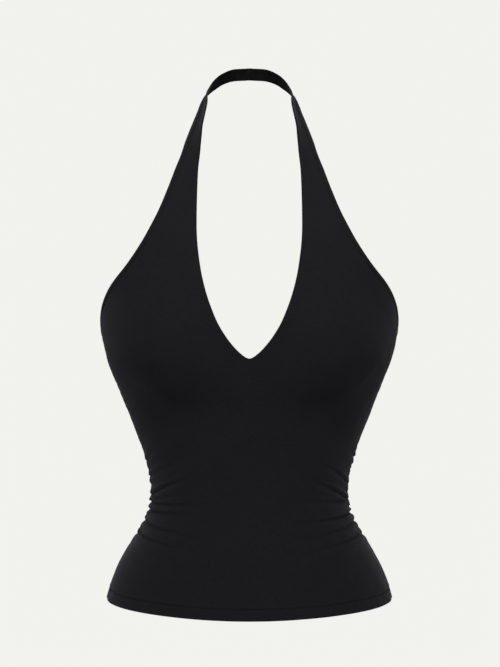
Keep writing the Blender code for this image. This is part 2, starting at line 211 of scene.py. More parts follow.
# Rows above the hem's edge, closest at its stitch line, and then the steps between rows further up.
HEM_ROWS = (5.4, 7.4, 9.2, 10.4, 11.1, 11.5, 11.8, 12.0, 12.2, 12.5, 12.8, 13.2, 13.7, 14.4, 15.4, 17.2)
ROW_STEP, GATHER_ROW_STEP, STRAP_ROW_STEP = 2.7, 0.9, 4.0
GATHER_TOP_DROP, GATHER_BASE_DROP = 406.0, 526.0
STRAP_FIRST_ROWS, STRAP_EVEN_FROM = (1.2, 2.6, 4.2), 6.0
EDGING_ROWS = np.array((0.0, 0.012, 0.04, 0.09, 0.16))  # shares of its width, beside each edge
EDGING_MIDDLE_ROWS = np.linspace(0.25, 0.75, 7)
ARM_EDGING_STEP, BACK_EDGING_STEP, NECK_BAND_STEP = 2.0, 2.2, 1.3
TURN_SAMPLES, SHARE_SAMPLES, NECKLINE_SAMPLE_STEP = 241, 121, 0.1
BACK_EDGE_SAMPLES, STITCH_LINE_SAMPLES = 400, 1500
NECK_NEAR, ARM_NEAR, STRAP_NEAR = 14.0, 12.0, 5.0  # how near to an edge distances to it are measured
TOP_EDGE_PER_TURN = 2.2  # millimetres for each degree, roughly, along the back's top edge
CURVE_STEP = 0.5  # between the points of the curves through the tables' rows
SMOOTHING, TUCK_SMOOTHING = 4.0, 3.0  # how far those curves are rounded
WELD = 0.004  # points this close are one


def curve(rows, column, smoothing):
    """Places and values on a smooth curve through a column, by the table's first column."""
    keys = np.array([row[0] for row in rows], float)
    values = np.array([getattr(row, column) for row in rows], float)
    gaps, rises = np.diff(keys), np.diff(values) / np.diff(keys)
    slopes = np.empty(len(keys))
    slopes[0], slopes[-1] = rises[0], rises[-1]
    slopes[1:-1] = (rises[:-1] * gaps[1:] + rises[1:] * gaps[:-1]) / (gaps[:-1] + gaps[1:])
    margin = 4 * smoothing
    at = np.arange(keys[0] - margin, keys[-1] + margin + CURVE_STEP, CURVE_STEP)
    i = np.clip(np.searchsorted(keys, at) - 1, 0, len(gaps) - 1)
    t = (at - keys[i]) / gaps[i]
    found = values[i] * (2 * t**3 - 3 * t**2 + 1) + values[i + 1] * (3 * t**2 - 2 * t**3)
    found += gaps[i] * (slopes[i] * (t**3 - 2 * t**2 + t) + slopes[i + 1] * (t**3 - t**2))
    found = np.where(at < keys[0], values[0] + slopes[0] * (at - keys[0]), found)
    found = np.where(at > keys[-1], values[-1] + slopes[-1] * (at - keys[-1]), found)
    if smoothing:
        reach = int(round(3 * smoothing / CURVE_STEP))
        weights = np.exp(-0.5 * (np.arange(-reach, reach + 1) * CURVE_STEP / smoothing) ** 2)
        before = found[0] + (found[1] - found[0]) * np.arange(-reach, 0)
        after = found[-1] + (found[-1] - found[-2]) * np.arange(1, reach + 1)
        found = np.convolve(np.concatenate((before, found, after)), weights / weights.sum(), "valid")
    return at, found


def curves(rows, smoothing):
    return {column: curve(rows, column, smoothing) for column in rows[0]._fields[1:]}


SECTION_CURVES = curves(SECTIONS, SMOOTHING)
STATION_CURVES = curves(STATIONS, 0.0)
BACK_EDGE_CURVE = curve(BACK_EDGE, "drop", 0.0)
NAPE_DEPTH = SECTIONS[1].centre + SECTIONS[1].back - WALL

# The soft step under the bust: its line on the form, how deep it is and how much shade is painted on the
# cloth there.
UNDER_BUST = table(
    "turn drop depth shade",
    (0, 354, 0, 0),
    (14, 357, 0.3, 0.02),
    (25, 361, 1.1, 0.08),
    (34, 363, 1.8, 0.15),
    (43, 362, 2.5, 0.24),
    (49, 357, 2.7, 0.3),
    (55, 346, 2.4, 0.3),
    (61, 331, 1.5, 0.22),
    (68, 315, 0.4, 0.08),
    (90, 292, 0, 0),
)
TUCK_SLOPE = 0.85  # distance across the step for each millimetre of drop
TUCK_SOFT, TUCK_RISE, TUCK_FADE = 3.0, 12.0, 42.0  # its rounding, its reach above the line and below it
TUCK_SHADE_ABOVE, TUCK_SHADE_WIDTH = 6.0, 9.0
UNDER_BUST_CURVES = curves(UNDER_BUST, TUCK_SMOOTHING)


def section(name, drop):
    return np.interp(drop, *SECTION_CURVES[name])


def station(name, along):
    return np.interp(along, *STATION_CURVES[name])


def form_point(turn, drop):
    """Places on the form, in millimetres from the origin."""
    turn, drop = np.broadcast_arrays(np.asarray(turn, float), np.asarray(drop, float))
    angle = np.radians(turn)
    ahead, across = np.cos(angle), np.sin(angle)
    front = ahead >= 0
    depth = np.where(front, section("front", drop), section("back", drop))
    square = np.where(front, section("square_front", drop), section("square_back", drop))
    breadth = section("breadth", drop)
    reach = (np.abs(ahead / depth) ** square + np.abs(across / breadth) ** square) ** (-1 / square)
    from_cup = (drop - CUP_DROP) / np.where(drop < CUP_DROP, CUP_RISE, CUP_FALL)
    turn_from_cup = (np.abs((turn + 180) % 360 - 180) - CUP_TURN) / CUP_SPREAD
    reach = reach + CUP_OUT * np.exp(-(from_cup**2) - turn_from_cup**2)
    return np.stack((reach * across, section("centre", drop) - NAPE_DEPTH - reach * ahead, -drop), -1)


def outward(turn, drop):
    """The form's outward direction."""
    down = form_point(turn, drop + 1.0) - form_point(turn, drop - 1.0)
    round_the_body = form_point(turn + 0.5, drop) - form_point(turn - 0.5, drop)
    normal = np.cross(down, round_the_body)
    return normal / np.linalg.norm(normal, axis=-1, keepdims=True)


def length(vectors):
    return np.linalg.norm(vectors, axis=-1)


def steps_across(edge, line, width):
    """How many times the vector line goes into a strip of this width beside an edge."""
    return width * length(edge) / length(np.cross(edge, line))


def sink_share(turn):
    at_seam = math.cos(math.radians(SIDE_SEAM_TURN))
    return (np.cos(np.radians(turn)) - at_seam) / (1 - at_seam)


def strap_place(along, share):
    """Turn and drop on the wearer's left strap. A share of 0 is the armhole edge and 1 is the neckline."""
    arm_turn, neck_turn = station("arm_turn", along), station("neck_turn", along)
    arm_drop, neck_drop = station("arm_drop", along), station("neck_drop", along)
    return (arm_turn + (neck_turn - arm_turn) * share,
            arm_drop + (neck_drop - arm_drop) * sink_share(SIDE_SEAM_TURN * (1 - share)))


def strap_point(along, share):
    return form_point(*strap_place(along, share))


def band_share(along, width):
    """The share of the strap's row that a strip of this width takes beside the armhole edge."""
    along = np.asarray(along, float)
    edge = strap_point(along + 1, 0.0) - strap_point(np.maximum(along - 1, 0), 0.0)
    line = strap_point(along, 0.01) - strap_point(along, 0.0)
    return 0.01 * steps_across(edge, line, width)


def underarm_step(width):
    edge = strap_point(1.0, 0.0) - strap_point(0.0, 0.0)
    down = form_point(SIDE_SEAM_TURN, UNDERARM_DROP + 1) - form_point(SIDE_SEAM_TURN, UNDERARM_DROP)
    return steps_across(edge, down, width)


def back_step(turn, width):
    drop = np.interp(turn, *BACK_EDGE_CURVE)
    edge = form_point(turn + 1, np.interp(turn + 1, *BACK_EDGE_CURVE)) - form_point(turn, drop)
    return steps_across(edge, form_point(turn, drop + 1) - form_point(turn, drop), width)


def back_line_drop(turn, width):
    """The drop of a line this far below the back's top edge, which meets the armhole's line at the seams."""
    turn = np.minimum(turn, 360 - turn)
    corner = underarm_step(width) - back_step(SIDE_SEAM_TURN, width) if width else 0.0
    step = back_step(turn, width) if width else 0.0
    corner_share = np.exp((SIDE_SEAM_TURN - turn) / CORNER_FADE)
    return np.interp(turn, *BACK_EDGE_CURVE) + step + corner * corner_share


SEAM_MIDDLE = SEAM_GAP / 2  # the pieces meet in the middle of the gap that their solids keep
SEAM_OVER, SEAM_OVER_TURN = 0.6, 0.28  # how far one reaches over the other, in millimetres and degrees
CORNER_DROP = UNDERARM_DROP + underarm_step(BAND_WIDTH + SEAM_MIDDLE)
SEAM_HEIGHT = HEM_SIDE_DROP - CORNER_DROP


def front_drop(turn, height):
    dip = HEM_FRONT_DIP + (V_TIP_DROP - CORNER_DROP - HEM_FRONT_DIP) * height / SEAM_HEIGHT
    return HEM_SIDE_DROP - height + dip * sink_share(turn)


def back_drop(turn, height):
    hem = HEM_SIDE_DROP + HEM_BACK_DIP * sink_share(180 - turn)
    top = back_line_drop(turn, BAND_WIDTH + SEAM_MIDDLE)
    return hem + (top - hem) * height / SEAM_HEIGHT


# ---------- relief of the cloth

# Slow uneven waves: how high they are, how long across and along, and where they start.
WAVE_COLUMNS = "height across along phase"
EVEN = 1e9  # so long a wave that nothing changes that way
SLACK_WAVES = table(
    WAVE_COLUMNS,
    (0.16, 63, 88, 0.4),
    (0.12, -47, 61, 2.2),
    (0.10, 35, -74, 4.1),
    (0.07, 27, 31, 1.3),
    (0.05, -21, 26, 5.2),
)
SLACK_SLANT = 0.6  # how much of the depth counts as distance across
HEM_WAVES = table(
    WAVE_COLUMNS,
    (0.14, 13.7, EVEN, 0.3),
    (0.10, 8.9, EVEN, 1.9),
    (0.10, 21.3, EVEN, 3.3),
)
HEM_SLANT, HEM_WAVE_REACH = 0.7, 7.0
EDGING_WAVES = table(
    WAVE_COLUMNS,
    (0.07, 9.1, EVEN, 0.6),
    (0.06, 6.3, EVEN, 2.7),
    (0.08, 17.9, EVEN, 4.4),
)
PUCKER_REACH = 5.0
SIDE_PUCKER, ARMHOLE_PUCKER, NECK_SEAM_PUCKER, BACK_TOP_PUCKER = 0.22, 0.13, 0.1, 0.12

# Soft grooves beside a line, or ridges where the depth is negative.
GROOVE_COLUMNS = "place depth width"
HEM_GROOVES = table(
    GROOVE_COLUMNS,
    (0.0, 0.32, 0.6),  # at the stitches
    (-1.5, 0.1, 1.8),
    (1.7, -0.3, 1.1),
)
NECK_GROOVES = table(
    GROOVE_COLUMNS,
    (1.6, -0.16, 1.5),  # the turned edge is a little fuller than the cloth beside it
    (5.0, 0.08, 1.6),
)
HEM_SOFTNESS = 0.5  # how softly the thicker hem ends above its stitches
# painted shade in the groove of the hem's stitch line
STITCH_SHADE, STITCH_SHADE_ABOVE, STITCH_SHADE_WIDTH = 0.2, 0.15, 0.5
SEAM_SHADE_WIDTH = 0.75
INSIDE_SHADE = 0.3  # how much of the outside's painted shade the inside of the cloth has


def waves(x, y, rows):
    total = np.zeros(np.broadcast(x, y).shape)
    for row in rows:
        total += row.height * np.sin(2 * math.pi * (x / row.across + y / row.along) + row.phase)
    return total


def grooves(distance, rows):
    return sum(-row.depth * hump(distance, row.place, row.width) for row in rows)


def hump(at, middle, width):
    """A soft hump, 1 at its middle and 0 far from it."""
    return np.exp(-(((at - middle) / width) ** 2))


def growth(at, start, reach):
    """0 up to the start and 1 from the end of the reach on."""
    return np.clip((at - start) / reach, 0, 1)


def creases(folds, part, drop, distance, width, spread):
    """How far the creases of one side seam move the cloth out, and how much shade is painted in them."""
    lift, hollow = np.zeros(drop.shape), np.zeros(drop.shape)
    for fold in folds:
        reach, rise = getattr(fold, part + "_length"), getattr(fold, part + "_rise")
        gone = np.clip(distance / reach, 0, FOLD_FADE)
        middle = fold.drop - rise * gone**FOLD_BEND
        off = (drop - middle) / (width * (1 + spread * (gone - FOLD_WIDTH_AT)))
        # a ridge over a steep lower side, then a slow rise out of the trough
        off = np.where(off < 0, off * FOLD_STEEP, off * FOLD_SLOW)
        strength = np.cos(math.pi / 2 * gone / FOLD_FADE) ** FOLD_TAPER
        strength = strength * (1 + SEAM_BOOST * np.exp(-distance / SEAM_BOOST_REACH))
        if fold.start:
            strength = strength * np.clip(distance / fold.start, 0, 1) ** 2
        lift -= fold.depth * strength * (1 - off**2) * np.exp(-(off**2) / 2)
        # painted shade on the steep upper side of each crease
        hollow += FOLD_SHADE * fold.depth * strength * hump(off, -FOLD_SHADE_ABOVE, FOLD_SHADE_WIDTH)
    return lift, hollow


def gathers(part, turn, drop, distance):
    """The creases of both side seams, each on its own side of the panel."""
    sides = []
    for folds, pleats in ((LEFT_FOLDS, LEFT_PLEATS), (RIGHT_FOLDS, RIGHT_PLEATS)):
        long = creases(folds, part, drop, distance, FOLD_WIDTH, FOLD_SPREAD)
        short = creases(pleats, part, drop, distance, PLEAT_WIDTH, PLEAT_SPREAD)
        sides.append((long[0] + short[0], long[1] + short[1]))
    return np.where(turn % 360 < 180, *sides)


def under_bust(turn, drop):
    """How far the cloth turns in under the bust, down to a soft line, and the shade painted there."""
    line, depth, shade = (np.interp(np.abs(turn), *found) for found in UNDER_BUST_CURVES.values())
    above = (line - drop) * TUCK_SLOPE
    near = np.exp(-TUCK_SOFT * np.logaddexp(0, above / TUCK_SOFT) / TUCK_RISE)
    near = near * hump(np.clip(above, None, 0), 0, TUCK_FADE)
    return -depth * near, shade * hump(above, TUCK_SHADE_ABOVE, TUCK_SHADE_WIDTH)


def seam_pucker(distance, along, size, phase):
    """Small uneven puckers beside a seam."""
    uneven = table(WAVE_COLUMNS, (0.6, 7.3, EVEN, phase), (0.5, 10.9, EVEN, 2.1 + phase),
                   (0.35, 5.1, EVEN, 4.0))
    return size * waves(along, 0, uneven) * hump(distance, 0, PUCKER_REACH)


def slack(points):
    """The slow unevenness of cloth over the whole form."""
    x, y, z = points[..., 0], points[..., 1], points[..., 2]
    return waves(x + SLACK_SLANT * y, z, SLACK_WAVES)


def seam_shade(distance):
    """Painted shade for cloth that lies deep in its seam, from 0 to 1."""
    return hump(distance, 0, SEAM_SHADE_WIDTH)


# ---------- building cloth


def edge_steps(count, crowding):
    """A function that gives places across a width, with fixed small steps at both edges."""
    even = (np.arange(1, count) / count) ** crowding

    def places(width, far_scale):
        width, far_scale = np.asarray(width, float)[..., None], np.asarray(far_scale, float)[..., None]
        near, far = EDGE_STEPS + 0 * width, width - EDGE_STEPS[::-1] * far_scale
        between = near[..., -1:] + (far[..., :1] - near[..., -1:]) * even
        return np.concatenate((near, between, far), -1)

    return places


def spread(start, end, step):
    count = max(1, round(abs(end - start) / step))
    return np.linspace(start, end, count + 1)


def rounded(distance, thick):
    """Half the cloth's thickness at a distance from its round edge."""
    half = thick / 2
    short = np.clip(half - distance, 0, half)
    return np.sqrt(np.maximum(half**2 - short**2, 0))


def add_object(name, data):
    made = bpy.data.objects.new(name, data)
    bpy.context.scene.collection.objects.link(made)
    return made


class Cloth:
    """A thin closed shell, gathered patch by patch as grids of points on its outer and inner face."""

    def __init__(self):
        self.outer, self.inner, self.flat = [], [], []
        self.hollow, self.hollow_inside = [], []
        self.faces = []
        self.count = 0

    def add(self, turn, drop, lift, edge_distance, thick, flat, hollow, hollow_inside=None):
        """Adds points and returns their numbers, in the arrays' shape."""
        point, normal = form_point(turn, drop), outward(turn, drop)
        half = rounded(edge_distance, thick)
        middle = lift - thick / 2
        self.outer.append((point + normal * (middle + half)[..., None]).reshape(-1, 3))
        self.inner.append((point + normal * (middle - half)[..., None]).reshape(-1, 3))
        self.flat.append(np.broadcast_to(flat, turn.shape + (2,)).reshape(-1, 2))
        self.hollow.append(np.clip(hollow, 0, 1).ravel())
        shade = INSIDE_SHADE * self.hollow[-1] if hollow_inside is None else hollow_inside.ravel()
        self.hollow_inside.append(shade)
        numbers = self.count + np.arange(turn.size).reshape(turn.shape)
        self.count += turn.size
        return numbers

    def patch(self, numbers):
        """Fills a grid of point numbers. Its rows run to the right and follow each other upwards."""
        corners = numbers[:-1, :-1], numbers[:-1, 1:], numbers[1:, 1:], numbers[1:, :-1]
        self.faces.append(np.stack(corners, -1).reshape(-1, 4))

    def build(self, name, outside, inside, node):
        outer, inner = np.concatenate(self.outer), np.concatenate(self.inner)
        faces = np.concatenate(self.faces)
        points = np.concatenate((outer, inner)) * MM
        quads = np.concatenate((faces, faces[:, ::-1] + len(outer)))
        flat = np.tile(np.concatenate(self.flat) * MM, (2, 1))
        mesh = bpy.data.meshes.new(name)
        mesh.from_pydata(points.tolist(), [], quads.tolist())
        mesh.materials.append(outside)
        mesh.materials.append(inside)
        mesh.polygons.foreach_set("material_index", np.repeat((0, 1), len(faces)))
        # painted shade, kept on the points for the materials to darken the cloth's colour
        hollow = mesh.attributes.new("hollow", "FLOAT", "POINT")
        hollow.data.foreach_set("value", np.concatenate(self.hollow + self.hollow_inside))
        uv = mesh.uv_layers.new(name="cloth")
        loops = np.empty(len(mesh.loops), np.int32)
        mesh.loops.foreach_get("vertex_index", loops)
        uv.data.foreach_set("uv", flat[loops].ravel())
        welded = bmesh.new()
        welded.from_mesh(mesh)
        bmesh.ops.remove_doubles(welded, verts=welded.verts, dist=WELD * MM)
        welded.to_mesh(mesh)
        welded.free()
        mesh.shade_smooth()
        piece = add_object(name, mesh)
        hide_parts(node)
        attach(piece, "root")
        return piece


def tree_of_both_sides(line):
    """A search tree of a line on the wearer's left and its like on the right."""
    points = np.concatenate((line, line * (-1, 1, 1)))
    tree = kdtree.KDTree(len(points))
    for n, point in enumerate(points):
        tree.insert(point, n)
    tree.balance()
    return tree


def distance_to(tree, points, guess, near):
    """Distances to a line for the points that a guess puts near it, and the guess for the others."""
    found = np.array(guess, float)
    for place in np.argwhere(guess < near):
        found[tuple(place)] = tree.find(points[tuple(place)])[2]
    return found


def run_along(points):
    """Distance gone along each row of points."""
    gone = np.cumsum(length(np.diff(points, axis=-2)), -1)
    return np.concatenate((np.zeros(points.shape[:-2] + (1,)), gone), -1)


def panel_heights():
    """Heights of a panel's rows at its side seam, from the hem's edge up to the underarm."""
    hem = np.concatenate((EDGE_STEPS, HEM_ROWS))
    low, high = HEM_SIDE_DROP - GATHER_BASE_DROP, HEM_SIDE_DROP - GATHER_TOP_DROP
    top = SEAM_HEIGHT - EDGE_STEPS[::-1]
    below_gathers = spread(hem[-1], low, ROW_STEP)[1:-1]
    above_gathers = spread(high, top[0], ROW_STEP)[1:]
    return np.concatenate((hem, below_gathers, spread(low, high, GATHER_ROW_STEP), above_gathers, top[1:]))


def panel_grid(part, places_of, stretch):
    """A panel's rows from seam to seam, up to the underarms: turns, distances from the nearer seam, drops,
    distances above the hem and flat places."""
    drop_at, middle, over = (front_drop, 0, SEAM_OVER_TURN) if part == "front" else (back_drop, 180, 0)
    height = panel_heights()
    samples = np.linspace(SIDE_SEAM_TURN + over, middle, TURN_SAMPLES)
    run_samples = run_along(form_point(samples, drop_at(samples, height[:, None])))
    run = places_of(run_samples[:, -1], stretch)
    turn = np.stack([np.interp(w, r, samples) for w, r in zip(run, run_samples)])
    other = 2 * middle - turn
    turn, other = (other, turn) if part == "front" else (turn, other)
    from_middle = run[:, -1:] - run
    turn = np.concatenate((turn, other[:, -2::-1]), 1)
    run = np.concatenate((run, run[:, -2::-1]), 1)
    drop = drop_at(turn, height[:, None])
    flat = np.stack((np.concatenate((-from_middle, from_middle[:, -2::-1]), 1), -drop), -1)
    return turn, run, drop, drop_at(turn, 0.0) - drop, flat


def hem_relief(above_edge, points):
    """The cloth's thickness above the hem's edge, how far it stands out, and the shade painted at its stitch
    line.
    """
    off = above_edge - HEM_DEPTH
    thick = CLOTH + (HEM_CLOTH - CLOTH) / (1 + np.exp(off / HEM_SOFTNESS))
    ripple = waves(points[..., 0] + HEM_SLANT * points[..., 1], 0, HEM_WAVES)
    pull = grooves(off, HEM_GROOVES) + ripple * hump(above_edge, HEM_DEPTH / 2, HEM_WAVE_REACH)
    return thick, pull, STITCH_SHADE * hump(off, STITCH_SHADE_ABOVE, STITCH_SHADE_WIDTH)


# The strap's dip, the painted shade beside its seam and on its turned edge, in distances along it.
CROWN_DEPTH, CROWN_LEAN = 1.5, 0.9
CROWN_START, CROWN_GROWTH, CROWN_END, CROWN_FADE = 130.0, 110.0, 320.0, 26.0
STRAP_SEAM_LEAST, STRAP_SEAM_HALF, STRAP_SEAM_FADE = 0.25, 110.0, 18.0
NECK_SHADE, NECK_SHADE_START, NECK_SHADE_GROWTH, NECK_SHADE_POWER = 0.75, 110.0, 150.0, 0.6
NECK_SHADE_WIDTH, NECK_SHADE_WIDENING, NECK_SHADE_SOFTNESS = 0.6, 0.4, 0.2
STRAP_SLACK_WIDTH, STRAP_SLACK_LEAST = 60.0, 0.25  # a strap narrower than this lies smoother


def strap_crown(along, share):
    """How far a narrow strap dips between its edges. It lies flat again in the neck seam."""
    dip = growth(along, CROWN_START, CROWN_GROWTH) * growth(CROWN_END - along, 0, CROWN_FADE)
    return -CROWN_DEPTH * dip * np.sin(math.pi * np.clip(share, 0, 1) ** CROWN_LEAN) ** 2


def strap_seam_shade(along):
    """How much shade is painted beside the armhole's seam. It fades out up the strap."""
    past = (along - STRAP_SEAM_HALF) / STRAP_SEAM_FADE
    return STRAP_SEAM_LEAST + (1 - STRAP_SEAM_LEAST) / (1 + np.exp(past))


def neck_shade(distance, along):
    """Painted shade on the neckline's turned edge along the straps, more and more up to the neck seam."""
    up = growth(along, NECK_SHADE_START, NECK_SHADE_GROWTH)
    past = distance - NECK_SHADE_WIDTH - NECK_SHADE_WIDENING * up
    return NECK_SHADE * up**NECK_SHADE_POWER / (1 + np.exp(past / NECK_SHADE_SOFTNESS))


def add_front_body(cloth, across, neck_tree, arm_tree):
    """The front below the tip of the V neck. Returns its points' numbers."""
    to_tip = SEAM_HEIGHT - panel_heights()
    stretch = np.clip(1 + to_tip / TIP_STRETCH_FADE, 1, MIDDLE_STRETCH)
    turn, run, drop, above_hem, flat = panel_grid("front", across, stretch)
    points = form_point(turn, drop)
    tip = points.shape[1] // 2
    from_neck = distance_to(neck_tree, points, length(points - points[-1, tip]), NECK_NEAR)
    from_neck[-1, tip] = 0
    from_arm = distance_to(arm_tree, points, run + to_tip[:, None], ARM_NEAR)
    from_arm[-1, [0, -1]] = 0
    creased, hollow = gathers("front", turn, drop, run)
    tucked, tuck_shade = under_bust(turn, drop)
    lift = slack(points) + creased + tucked
    lift += seam_pucker(run, drop, SIDE_PUCKER, phase=0.0) + grooves(from_neck, NECK_GROOVES)
    # the hem's relief, with painted shade at its stitch line
    thick, pull, painted_stitch_shade = hem_relief(above_hem, points)
    hollow = np.maximum(hollow, painted_stitch_shade) + tuck_shade
    hollow = np.maximum(hollow, seam_shade(np.minimum(run, from_arm)))
    edge = np.minimum(np.minimum(run, above_hem), np.minimum(from_neck, from_arm))
    body = cloth.add(turn, drop, lift + pull, edge, thick, flat, hollow)
    cloth.patch(body)
    return body


def add_straps(cloth, body, across, neck_tree, arm_tree):
    """Both straps, from the last row of the front's body up to the neck seam."""
    even = spread(STRAP_EVEN_FROM, NECK_SEAM_ALONG - EDGE_STEPS[-1], STRAP_ROW_STEP)
    alongs = np.concatenate((STRAP_FIRST_ROWS, even, NECK_SEAM_ALONG - EDGE_STEPS[-2::-1]))
    along = alongs[:, None]
    start = band_share(alongs, BAND_WIDTH + SEAM_MIDDLE)[:, None]
    samples = start + (1 - start) * np.linspace(0, 1, SHARE_SAMPLES)
    run_samples = run_along(strap_point(along, samples))
    run = across(run_samples[:, -1], 1.0)
    share = np.stack([np.interp(w, r, s) for w, r, s in zip(run, run_samples, samples)])
    turn, drop = strap_place(along, share)
    points = form_point(turn, drop)
    width = run_samples[:, -1:]
    from_neck = distance_to(neck_tree, points, width - run, STRAP_NEAR)
    from_arm = distance_to(arm_tree, points, run, STRAP_NEAR)
    from_neck[:, -1], from_arm[:, 0] = 0, 0
    from_seam = np.broadcast_to(NECK_SEAM_ALONG - along, turn.shape)
    edge = np.minimum(np.minimum(from_neck, from_arm), from_seam)
    hollow = np.maximum(seam_shade(from_arm) * strap_seam_shade(along), seam_shade(from_seam))
    hollow = np.maximum(hollow, neck_shade(from_neck, along))
    for side in (-1, 1):
        lift = slack(points * (side, 1, 1)) * np.clip(width / STRAP_SLACK_WIDTH, STRAP_SLACK_LEAST, 1)
        lift += seam_pucker(from_arm, along + 0 * share, ARMHOLE_PUCKER, phase=side * 1.1)
        lift += grooves(from_neck, NECK_GROOVES)
        lift += seam_pucker(from_seam, run, NECK_SEAM_PUCKER, phase=0.5)
        lift = lift + under_bust(turn, drop)[0] + strap_crown(along, share)
        flat = np.stack((side * (width - run + station("neck_turn", along)), -drop), -1)
        grid = cloth.add(side * turn, drop, lift, edge, np.full(turn.shape, CLOTH), flat, hollow)
        if side < 0:
            joint = body[-1:, :grid.shape[1]]
        else:
            joint, grid = body[-1:, -grid.shape[1]:], grid[:, ::-1]
        cloth.patch(np.concatenate((joint, grid), 0))


def make_front():
    """The front and both straps, which are one piece of cloth."""
    cloth = Cloth()
    across = edge_steps(FRONT_COLUMNS, FRONT_CROWDING)
    alongs = np.arange(0, NECK_SEAM_ALONG + NECKLINE_SAMPLE_STEP / 2, NECKLINE_SAMPLE_STEP)
    neck_tree = tree_of_both_sides(strap_point(alongs, 1.0))
    arm_tree = tree_of_both_sides(strap_point(alongs, band_share(alongs, BAND_WIDTH + SEAM_MIDDLE)))
    body = add_front_body(cloth, across, neck_tree, arm_tree)
    add_straps(cloth, body, across, neck_tree, arm_tree)
    return cloth.build("front_cloth", panel_material, panel_inside_material, "front_panel")


def make_back():
    stretch = np.full(len(panel_heights()), BACK_MIDDLE_STRETCH)
    turn, run, drop, above_hem, flat = panel_grid("back", edge_steps(BACK_COLUMNS, BACK_CROWDING), stretch)
    points = form_point(turn, drop)
    below_top = drop - back_drop(turn, SEAM_HEIGHT)
    creased, hollow = gathers("back", turn, drop, run)
    side_pucker = seam_pucker(run, drop, SIDE_PUCKER, phase=0.9)
    top_pucker = seam_pucker(below_top, turn * TOP_EDGE_PER_TURN, BACK_TOP_PUCKER, phase=0.2)
    # the hem's relief, with painted shade at its stitch line
    thick, pull, painted_stitch_shade = hem_relief(above_hem, points)
    lift = slack(points) + creased + (side_pucker + top_pucker) + pull
    hollow = np.maximum(np.maximum(hollow, painted_stitch_shade), seam_shade(np.minimum(run, below_top)))
    edge = np.minimum(np.minimum(run, above_hem), below_top)
    cloth = Cloth()
    cloth.patch(cloth.add(turn, drop, lift, edge, thick, flat, hollow))
    return cloth.build("back_cloth", panel_material, panel_inside_material, "back_panel")


# ---------- the narrow finished edges

EDGING_BULGE, NECK_BAND_BULGE, NECK_BAND_EXTRA = 0.3, 0.35, 0.3  # the neck band is fuller and thicker
BACK_EDGING_REACH = 175.0  # how far from each side seam the even columns go
NECK_BAND_RISE, NECK_BAND_RISE_FROM, NECK_BAND_RISE_OVER = 1.1, 22.0, 30.0  # its top edge, past the seam
# Painted shade on the inside of the neck band, by the distance from its seams.
NAPE_SHADE, NAPE_SHADE_GROWTH, NAPE_SHADE_POWER = 0.52, 16.0, 1.5
NAPE_SIDE_SHADE, NAPE_SIDE_PLACE, NAPE_SIDE_WIDTH = 0.32, 38.0, 13.0
NAPE_SIDE_CHANGE, NAPE_SIDE_TURN = 0.25, 0.5  # across the band
NAPE_PATCHES = 0.07
NAPE_WAVES = table(
    WAVE_COLUMNS,
    (1.0, 17.0, 29.0, 0.7),
    (0.8, 9.0, -23.0, 2.9),
)


def nape_shade(from_ends, from_low):
    """Painted shade, darker behind the sides of the neck than at the nape or the seams, with faint patches.
    """
    across = 1 - NAPE_SIDE_CHANGE + NAPE_SIDE_CHANGE * np.cos(from_low * NAPE_SIDE_TURN)
    sides = NAPE_SIDE_SHADE * hump(from_ends, NAPE_SIDE_PLACE, NAPE_SIDE_WIDTH) * across
    patches = NAPE_PATCHES * waves(from_ends, from_low, NAPE_WAVES)
    return growth(from_ends, 0, NAPE_SHADE_GROWTH) ** NAPE_SHADE_POWER * (NAPE_SHADE + sides + patches)


def make_edging(name, node, low, high, thick, bulge, low_seam_shade):
    """A narrow band of cloth between two lines on the form, each a pair of turns and drops."""
    share = np.concatenate((EDGING_ROWS, EDGING_MIDDLE_ROWS, 1 - EDGING_ROWS[::-1]))[:, None]
    turn = low[0] + (high[0] - low[0]) * share
    drop = low[1] + (high[1] - low[1]) * share
    points = form_point(turn, drop)
    width = length(points[-1] - points[0])
    run = run_along(points[len(share) // 2][None])
    from_low = share * width
    from_high = (1 - share) * width
    from_ends = np.minimum(run, run[:, -1:] - run) + 0 * from_low
    edge = np.minimum(np.minimum(from_low, from_high), from_ends)
    over = np.sin(math.pi * share)
    lift = bulge * over**2 + waves(run, 0, EDGING_WAVES) * over
    flat = np.stack((run + 0 * from_low, from_low), -1)
    hollow = np.maximum(seam_shade(from_low) * low_seam_shade, seam_shade(from_ends))
    at_neck = node == "neck_strap"
    hollow_inside = nape_shade(from_ends, from_low) if at_neck else None
    inside = neck_inside_material if at_neck else panel_inside_material
    cloth = Cloth()
    cloth.patch(cloth.add(turn, drop, lift, edge, np.full(turn.shape, thick), flat, hollow, hollow_inside))
    return cloth.build(name, band_material, inside, node)


def make_armhole_edging(name, node, side):
    even = spread(EDGE_STEPS[-1], NECK_SEAM_ALONG - EDGE_STEPS[-1], ARM_EDGING_STEP)[1:-1]
    along = np.concatenate((EDGE_STEPS, even, NECK_SEAM_ALONG - EDGE_STEPS[::-1]))
    if side > 0:
        along = along[::-1]
    low_turn, low_drop = strap_place(along, band_share(along, BAND_WIDTH + SEAM_MIDDLE + SEAM_OVER))
    high_turn, high_drop = strap_place(along, np.zeros(len(along)))
    end = along == 0  # its lower end lies on the side seam
    low_turn[end] = high_turn[end] = SIDE_SEAM_TURN + SEAM_OVER_TURN
    low_drop[end] = CORNER_DROP + SEAM_OVER
    low, high = (side * low_turn, low_drop), (side * high_turn, high_drop)
    return make_edging(name, node, low, high, CLOTH, EDGING_BULGE, strap_seam_shade(along))


